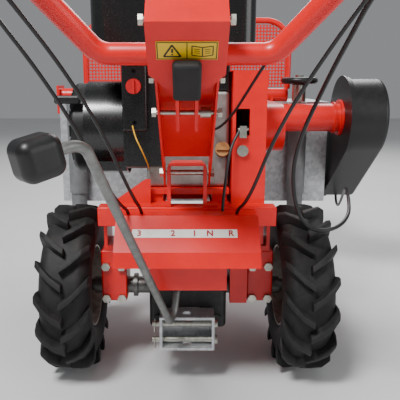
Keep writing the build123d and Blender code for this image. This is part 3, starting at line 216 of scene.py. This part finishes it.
# Grips and the lock lever's sleeve: soft black rubber.
grip_rubber = finish("grip_rubber", "#1d1d1e", "#141415", 20, 0.0, 0.72, 0.08, 1.4,
                     dust="#6f6a64", dust_share=0.2)
paint(grip_rubber, "handlebar_grips", "lock_sleeve", "drive_belts")

# Gear gate strip and yellow label plate: printed plastic film.
paint(finish("white_film", "#e9e7e0", "#d9d6cd", 30, 0.0, 0.4, 0.01, 2.0), "gate_scale_strip")
yellow_film = finish("yellow_film", "#f0c419", "#e2b60f", 30, 0.0, 0.38, 0.01, 2.0)
paint(yellow_film, "label_plate")
ink = finish("black_ink", "#151515", "#1c1c1c", 20, 0.0, 0.45, 0.01, 2.0)
red_ink = finish("red_ink", "#a30d10", "#930b0e", 20, 0.0, 0.45, 0.01, 2.0)


# Tyres. Agricultural tread: a smooth carcass with fifteen tall lugs a side that meet as an arrow,
# staggered by half a pitch. Black rubber with a little dust.
tyre_radius, tyre_width, bead_radius, tread_height = 205.0, 125.0, 101.5, 21.0
lug_count, lug_width, lug_lean, lug_bevel = 15, 19.0, 27.0, 2.2
lug_stations = [  # across the tread, share of the lean, drop of the lug's top
    (-3.0, 0.0, 0.0), (22.0, 0.30, 0.0), (44.0, 0.68, -1.5), (60.0, 1.0, -12.0), (62.0, 1.08, -34.0)]
track_half, axle_height = 280, 205
tread_rubber = finish("tread_rubber", "#111112", "#0a0a0b", 25, 0.0, 0.7, 0.25, 2.0,
                      dust="#5c554c", dust_share=0.2)


def carcass_profile():
    """Half section of the tyre wall from bead to crown: (across, radius)."""
    crown, half = tyre_radius - tread_height, tyre_width / 2 - 3
    points = [(36, bead_radius), (half - 8, bead_radius + 6), (half - 1, bead_radius + 24)]
    for i in range(9):
        a = radians(90 * i / 8)
        points.append((half - 30 + 30 * cos(a), crown - 44 + 44 * sin(a)))
    return points


def lathe(profile, steps=96):
    """Closed turned shell about X from a list of (across, radius)."""
    shape = bmesh.new()
    rings = []
    for i in range(steps):
        a = 2 * pi * i / steps
        rings.append([shape.verts.new((x, r * sin(a), r * cos(a))) for x, r in profile])
    for i, ring in enumerate(rings):
        after = rings[(i + 1) % steps]
        for j in range(len(profile)):
            k = (j + 1) % len(profile)
            shape.faces.new((ring[j], ring[k], after[k], after[j]))
    bmesh.ops.recalc_face_normals(shape, faces=shape.faces)
    return shape


def lug_mesh():
    """One lug: a bar across half the tread that leans back towards the shoulder and down its side."""
    shape = bmesh.new()
    sections = []
    for across, share, drop in lug_stations:
        turn = radians(lug_lean) * share * 0.62
        top, foot = tyre_radius + drop, tyre_radius + drop - tread_height - 6
        if drop < -20:
            foot = top - 26
        section = []
        for side, r, w in ((-1, foot, 0.62), (-1, top, 0.42), (1, top, 0.42), (1, foot, 0.62)):
            a = turn + side * w * lug_width / r
            lean = across if r == top else across - (4 if across > 50 else 0)
            section.append(shape.verts.new((lean, r * sin(a), r * cos(a))))
        sections.append(section)
    for low, high in zip(sections, sections[1:]):
        for j in range(4):
            k = (j + 1) % 4
            shape.faces.new((low[j], low[k], high[k], high[j]))
    shape.faces.new(sections[0][::-1])
    shape.faces.new(sections[-1])
    bmesh.ops.recalc_face_normals(shape, faces=shape.faces)
    bmesh.ops.bevel(shape, geom=list(shape.edges), offset=lug_bevel, segments=2, affect="EDGES",
                    profile=0.6)
    return shape


def mesh_from(shape, name, smooth=True):
    mesh = bpy.data.meshes.new(name)
    shape.to_mesh(mesh)
    shape.free()
    for face in mesh.polygons:
        face.use_smooth = smooth
    return mesh


def turned_copies_tree():
    """Geometry Nodes: copies of an object turned step by step about X."""
    tree = bpy.data.node_groups.new("turned_copies", "GeometryNodeTree")
    tree.is_modifier = True
    for name, kind in (("Piece", "NodeSocketObject"), ("Count", "NodeSocketInt"),
                       ("Step", "NodeSocketFloat"), ("Start", "NodeSocketFloat"),
                       ("Finish", "NodeSocketMaterial")):
        tree.interface.new_socket(name, in_out="INPUT", socket_type=kind)
    tree.interface.new_socket("Geometry", in_out="OUTPUT", socket_type="NodeSocketGeometry")
    given = tree.nodes.new("NodeGroupInput")
    copied = add(tree, "GeometryNodeObjectInfo", Object=given.outputs["Piece"])
    points = add(tree, "GeometryNodePoints", Count=given.outputs["Count"])
    index = add(tree, "GeometryNodeInputIndex")
    turn = add(tree, "ShaderNodeMath", {"operation": "MULTIPLY_ADD"}, _0=index.outputs[0],
               _1=given.outputs["Step"], _2=given.outputs["Start"])
    angles = add(tree, "ShaderNodeCombineXYZ", X=turn.outputs[0])
    copies = add(tree, "GeometryNodeInstanceOnPoints", Points=points.outputs[0],
                 Instance=copied.outputs["Geometry"], Rotation=angles.outputs[0])
    real = add(tree, "GeometryNodeRealizeInstances", Geometry=copies.outputs[0])
    finished = add(tree, "GeometryNodeSetMaterial", Geometry=real.outputs[0],
                   Material=given.outputs["Finish"])
    tree.links.new(finished.outputs[0], add(tree, "NodeGroupOutput").inputs[0])
    return tree


turned_copies = turned_copies_tree()


def baked(holder):
    """Plain mesh of a temporary object with its modifiers or curve applied; the object goes."""
    bpy.context.view_layer.update()
    graph = bpy.context.evaluated_depsgraph_get()
    mesh = bpy.data.meshes.new_from_object(holder.evaluated_get(graph))
    bpy.data.objects.remove(holder)
    return mesh


def run_tree(tree, name, **values):
    """Plain mesh of a Geometry Nodes tree with these inputs."""
    holder = bpy.data.objects.new(name, bpy.data.meshes.new(name))
    bpy.context.collection.objects.link(holder)
    modifier = holder.modifiers.new(name, "NODES")
    modifier.node_group = tree
    for socket in tree.interface.items_tree:
        if socket.in_out == "INPUT" and socket.name in values:
            modifier[socket.identifier] = values[socket.name]
    return baked(holder)


def joined(name, meshes):
    """One mesh out of several, with their materials."""
    shape = bmesh.new()
    for mesh in meshes:
        shape.from_mesh(mesh)
    return mesh_from(shape, name)


half_profile = carcass_profile()
outline = [(-x, r) for x, r in half_profile] + half_profile[::-1]
carcass = mesh_from(lathe(outline), "carcass")
for side in (-1, 1):
    tread = [carcass]
    for half in (-1, 1):
        lug = lug_mesh()
        if half < 0:
            bmesh.ops.scale(lug, vec=(-1, 1, 1), verts=lug.verts)
            bmesh.ops.recalc_face_normals(lug, faces=lug.faces)
        lug_object = bpy.data.objects.new("lug", mesh_from(lug, "lug", smooth=False))
        bpy.context.collection.objects.link(lug_object)
        step = 2 * pi / lug_count
        tread.append(run_tree(turned_copies, "lugs", Piece=lug_object, Count=lug_count, Step=step,
                              Start=step / 2 if half > 0 else 0.0, Finish=tread_rubber))
        bpy.data.objects.remove(lug_object)
    tyre_mesh = joined("tyre_tread", tread)
    middle = place(side * track_half, 0, axle_height)
    tyre_mesh.transform(Matrix.Translation(middle) @ Matrix.Scale(0.001, 4))
    for face in tyre_mesh.polygons:
        face.use_smooth = face.area > 6e-5
    tyre = piece("tyre_right" if side > 0 else "tyre_left", tyre_mesh, "wheels", tread_rubber)
    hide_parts("tyres")


# Rear guard sheet: red powder-coated steel 1.5 mm thick, punched with round holes in even rows and
# cut to the hoop it is welded into.
hole_pitch, hole_radius, sheet_thickness = 11.0, 3.9, 1.5
sheet_low, sheet_high = (Vector(corner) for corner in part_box("guard_mesh"))
hoop_corner = 0.074


def punched_sheet_tree():
    """Geometry Nodes: a grid of square cells with a round hole."""
    tree = bpy.data.node_groups.new("punched_sheet", "GeometryNodeTree")
    tree.is_modifier = True
    for name, kind in (("Cell", "NodeSocketObject"), ("Columns", "NodeSocketInt"),
                       ("Rows", "NodeSocketInt"), ("Pitch", "NodeSocketFloat"),
                       ("Finish", "NodeSocketMaterial")):
        tree.interface.new_socket(name, in_out="INPUT", socket_type=kind)
    tree.interface.new_socket("Geometry", in_out="OUTPUT", socket_type="NodeSocketGeometry")
    given = tree.nodes.new("NodeGroupInput")
    cell = add(tree, "GeometryNodeObjectInfo", Object=given.outputs["Cell"])
    width = add(tree, "ShaderNodeMath", {"operation": "MULTIPLY"}, _0=given.outputs["Columns"],
                _1=given.outputs["Pitch"])
    height = add(tree, "ShaderNodeMath", {"operation": "MULTIPLY"}, _0=given.outputs["Rows"],
                 _1=given.outputs["Pitch"])
    across = add(tree, "ShaderNodeMath", {"operation": "ADD"}, _0=given.outputs["Columns"], _1=1.0)
    up = add(tree, "ShaderNodeMath", {"operation": "ADD"}, _0=given.outputs["Rows"], _1=1.0)
    grid = add(tree, "GeometryNodeMeshGrid", Size_X=width.outputs[0], Size_Y=height.outputs[0],
               Vertices_X=across.outputs[0], Vertices_Y=up.outputs[0])
    centres = add(tree, "GeometryNodeMeshToPoints", {"mode": "FACES"}, Mesh=grid.outputs["Mesh"])
    copies = add(tree, "GeometryNodeInstanceOnPoints", Points=centres.outputs[0],
                 Instance=cell.outputs["Geometry"])
    real = add(tree, "GeometryNodeRealizeInstances", Geometry=copies.outputs[0])
    finished = add(tree, "GeometryNodeSetMaterial", Geometry=real.outputs[0],
                   Material=given.outputs["Finish"])
    tree.links.new(finished.outputs[0], add(tree, "NodeGroupOutput").inputs[0])
    return tree


def cell_mesh(pitch, radius, steps=8):
    """Square cell with a round hole, flat in XY."""
    shape = bmesh.new()
    half, inner, outer = pitch / 2, [], []
    for i in range(steps):
        a = 2 * pi * (i + 0.5) / steps
        far = half / max(abs(cos(a)), abs(sin(a)))
        inner.append(shape.verts.new((radius * cos(a), radius * sin(a), 0)))
        outer.append(shape.verts.new((far * cos(a), far * sin(a), 0)))
    corners = [shape.verts.new((sx * half, sy * half, 0))
               for sx, sy in ((1, 1), (-1, 1), (-1, -1), (1, -1))]
    for i in range(steps):
        k = (i + 1) % steps
        loop = [inner[i], outer[i]]
        if i % 2 == 0:
            loop.append(corners[i // 2])
        shape.faces.new(loop + [outer[k], inner[k]])
    return mesh_from(shape, "cell", smooth=False)


cell = bpy.data.objects.new("cell", cell_mesh(hole_pitch / 1000, hole_radius / 1000))
bpy.context.collection.objects.link(cell)
columns = int((sheet_high.x - sheet_low.x) * 1000 / hole_pitch)
rows = int((sheet_high.z - sheet_low.z) * 1000 / hole_pitch)
punched = run_tree(punched_sheet_tree(), "punched", Cell=cell, Columns=columns, Rows=rows,
                   Pitch=hole_pitch / 1000, Finish=powder_red)
bpy.data.objects.remove(cell)
shape = bmesh.new()
shape.from_mesh(punched)
bmesh.ops.rotate(shape, verts=shape.verts, cent=(0, 0, 0), matrix=Matrix.Rotation(pi / 2, 3, "X"))
bmesh.ops.translate(shape, verts=shape.verts, vec=(sheet_low + sheet_high) / 2)
bmesh.ops.remove_doubles(shape, verts=shape.verts, dist=0.0002)
outside = []
sheet_middle = (sheet_low.x + sheet_high.x) / 2
sheet_half = (sheet_high.x - sheet_low.x) / 2
for face in shape.faces:
    centre = face.calc_center_median()
    over_x = abs(centre.x - sheet_middle) - (sheet_half - hoop_corner)
    over_z = centre.z - (sheet_high.z - hoop_corner)
    if over_x > 0 and over_z > 0 and hypot(over_x, over_z) > hoop_corner:
        outside.append(face)
bmesh.ops.delete(shape, geom=outside, context="FACES")
punched = mesh_from(shape, "punched_guard_sheet", smooth=False)
guard_sheet = piece("punched_guard_sheet", punched, "frame", powder_red)
thickness = guard_sheet.modifiers.new("thickness", "SOLIDIFY")
thickness.thickness, thickness.offset = sheet_thickness / 1000, 0
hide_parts("guard_mesh")


# Control cables: steel wire in a black PVC sheath. They hang in easy curves from the hand levers to
# the gear gate, the throttle and the tool drive.
cable_sheath = finish("pvc_sheath", "#151516", "#0e0e0f", 12, 0.0, 0.38, 0.02, 1.5)
yellow_sheath = finish("yellow_pvc_sheath", "#d9a11c", "#c08c15", 12, 0.0, 0.45, 0.02, 1.5)
clutch_route = [
    (-311, -641.8, 936.1), (-307, -601, 928), (-296, -540, 888), (-262, -472, 830), (-222, -405, 760),
    (-186, -340, 685), (-152, -282, 600), (-128, -230, 520), (-110, -182, 462), (-102, -153, 441),
    (-100, -142, 425)]
reverse_route = [
    (-328.8, -639.8, 935.7), (-325, -600, 927), (-318, -535, 880), (-290, -462, 812), (-250, -395, 735),
    (-212, -332, 650), (-180, -275, 560), (-152, -228, 485), (-136, -185, 449), (-131, -155, 438),
    (-130, -142, 425)]
brake_route = [
    (311, -641.8, 936.1), (307, -601, 928), (293, -537, 886), (260, -465, 824), (222, -400, 748),
    (186, -335, 668), (158, -275, 585), (138, -225, 505), (122, -182, 455), (112, -153, 440),
    (110, -142, 425)]
loop_route = [
    (328.8, -639.8, 935.7), (324.5, -600, 928), (312, -540, 902), (298, -475, 868), (286, -417, 836),
    (280, -352, 790), (269, -285, 735), (259, -212, 672), (245, -160, 609), (230, -146, 540),
    (233, -143, 467), (252, -140, 412), (280, -146, 388), (318, -140, 386), (356, -106, 392),
    (388, -45, 402), (410, 35, 412), (432, 125, 416), (455, 215, 410), (478, 305, 395),
    (500, 395, 370), (520, 475, 338), (536, 550, 303), (548, 615, 273), (557, 668, 260),
    (560, 700, 272), (560, 705, 291.9)]
throttle_route = [
    (317.5, -607.5, 984.5), (313, -570, 976), (294, -510, 946), (262, -440, 908), (226, -383, 870),
    (186, -320, 808), (150, -255, 748), (122, -190, 690), (97, -135, 640), (76, -85, 612),
    (63, -48, 602), (60, -20.2, 600)]
belt_route = [
    (119.5, -66, 600), (104, -78, 578), (93, -92, 538), (87, -104, 492), (82, -114, 455),
    (80, -118, 425)]
wire_route = [
    (-126, -44.5, 610), (-120, -66, 590), (-104, -78, 560), (-92, -64, 528), (-90, -40, 512),
    (-92, -20.2, 506)]


def cable(name, route, diameter, material, node, moving=True):
    """Smooth round cable along a route in place of its CAD node; a fixed one rides on the frame, a moving
    one on no body.
    """
    curve = bpy.data.curves.new(name, "CURVE")
    curve.dimensions, curve.bevel_depth, curve.bevel_resolution = "3D", diameter / 2000, 4
    curve.use_fill_caps, curve.resolution_u = True, 8
    line = curve.splines.new("NURBS")
    line.points.add(len(route) - 1)
    for point, at in zip(line.points, route):
        point.co = tuple(place(*at)) + (1,)
    line.order_u = 3
    line.use_endpoint_u = True
    holder = bpy.data.objects.new(name, curve)
    bpy.context.collection.objects.link(holder)
    mesh = baked(holder)
    mesh.name = name
    for face in mesh.polygons:
        face.use_smooth = True
    made = piece(name, mesh, None if moving else "frame", material)
    if moving:
        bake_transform(made)
    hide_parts(node)
    return made


cable("clutch_cable", clutch_route, 7, cable_sheath, "control_cables")
cable("reverse_cable", reverse_route, 7, cable_sheath, "control_cables")
cable("brake_cable", brake_route, 7, cable_sheath, "control_cables")
cable("throttle_cable", throttle_route, 6, cable_sheath, "control_cables")
cable("belt_cable", belt_route, 7, cable_sheath, "control_cables", moving=False)
cable("stop_wire", wire_route, 3.5, yellow_sheath, "control_cables", moving=False)
cable("tool_drive_cable", loop_route, 9, cable_sheath, "loop_cable")


# Gear marks: small red figures printed on the white strip, one for each gear, neutral and reverse.
strip_low, strip_high = (Vector(corner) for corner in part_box("gate_scale_strip"))
strip_middle = (strip_low + strip_high) / 2
slope = Matrix.Rotation(radians(45), 4, "X")
mark_height, mark_lift = 0.019, 0.0009
for mark, x in (("3", -102), ("2", -30), ("1", 16), ("N", 49), ("R", 94)):
    text = bpy.data.curves.new("gear_mark_" + mark, "FONT")
    text.offset = 0.0006
    text.body, text.size, text.extrude = mark, mark_height, 0.0002
    text.align_x, text.align_y = "CENTER", "CENTER"
    holder = bpy.data.objects.new("gear_mark", text)
    bpy.context.collection.objects.link(holder)
    mesh = baked(holder)
    above = Vector((0, -sin(radians(45)), cos(radians(45)))) * mark_lift
    at = Vector((ground_middle.x + x / 1000, strip_middle.y, strip_middle.z)) + above
    mesh.transform(Matrix.Translation(at) @ slope)
    piece("gear_mark_" + mark, mesh, "frame", red_ink)


# Label print: plain generic pictures on the yellow plate, a framed triangle and an open booklet.
label_low, label_high = (Vector(corner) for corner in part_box("label_plate"))
label_middle = (label_low + label_high) / 2


def label_bar(shape, x0, y0, x1, y1, width):
    """Flat printed line between two points of the label, in millimetres."""
    run = Vector((x1 - x0, y1 - y0))
    side = Vector((-run.y, run.x)).normalized() * width / 2
    ends = [(x0 + side.x, y0 + side.y), (x0 - side.x, y0 - side.y), (x1 - side.x, y1 - side.y),
            (x1 + side.x, y1 + side.y)]
    shape.faces.new([shape.verts.new((x / 1000, y / 1000, 0)) for x, y in ends])


print_shape = bmesh.new()
border = [(-48, 17, 48, 17), (-48, -17, 48, -17), (-48, -17.7, -48, 17.7), (48, -17.7, 48, 17.7),
          (0, -17, 0, 17)]
triangle = [(-38, -12, -10, -12), (-38, -12, -24, 12), (-10, -12, -24, 12)]
booklet = [(8, -9, 8, 10), (42, -9, 42, 10), (8, 10, 25, 7), (25, 7, 42, 10), (8, -9, 25, -12),
           (25, -12, 42, -9), (25, -12, 25, 7)]
for line in border:
    label_bar(print_shape, *line, 1.6)
for line in triangle:
    label_bar(print_shape, *line, 3)
label_bar(print_shape, -24, -4, -24, 4, 3.2)
label_bar(print_shape, -24, -9, -24, -6.4, 3.2)
for line in booklet:
    label_bar(print_shape, *line, 1.8)
for i in range(3):
    label_bar(print_shape, 12, 4 - 4 * i, 21, 3 - 4 * i, 1.2)
    label_bar(print_shape, 29, 3 - 4 * i, 38, 4 - 4 * i, 1.2)
print_mesh = mesh_from(print_shape, "label_print", smooth=False)
outward = Vector((0, -sin(radians(45)), -cos(radians(45)))) * 0.001
print_mesh.transform(Matrix.Translation(label_middle + outward) @ Matrix.Rotation(radians(135), 4, "X"))
piece("label_print", print_mesh, "handlebar", ink)


# Floor and light: a pale studio floor, a broad key from the upper left and soft fill all round.
floor_mesh = bpy.data.meshes.new("floor")
floor_mesh.from_pydata([(-9, -9, 0), (9, -9, 0), (9, 9, 0), (-9, 9, 0)], [], [(0, 1, 2, 3)])
floor = bpy.data.objects.new("floor", floor_mesh)
bpy.context.collection.objects.link(floor)
floor_mesh.materials.append(finish("studio_floor", "#d6d6d6", "#cfcfcf", 900, 0.0, 0.75, 0.0, 60))
lamp_aim = Vector((0, 0, 0.45))
for name, at, power, size in (("key", (-1.2, -2.2, 3.6), 210, 0.9), ("fill", (2.8, -2.0, 1.6), 45, 2.2),
                              ("rear", (0.6, 3.2, 3.0), 130, 2.4)):
    light = bpy.data.lights.new(name, "AREA")
    light.energy, light.size = power, size
    lamp = bpy.data.objects.new(name, light)
    lamp.location = at
    lamp.rotation_euler = (lamp_aim - lamp.location).to_track_quat("-Z", "Y").to_euler()
    bpy.context.collection.objects.link(lamp)
world = bpy.data.worlds.new("studio")
world.use_nodes = True
world.node_tree.nodes["Background"].inputs["Color"].default_value = (0.72, 0.74, 0.77, 1)
world.node_tree.nodes["Background"].inputs["Strength"].default_value = 0.36
bpy.context.scene.world = world
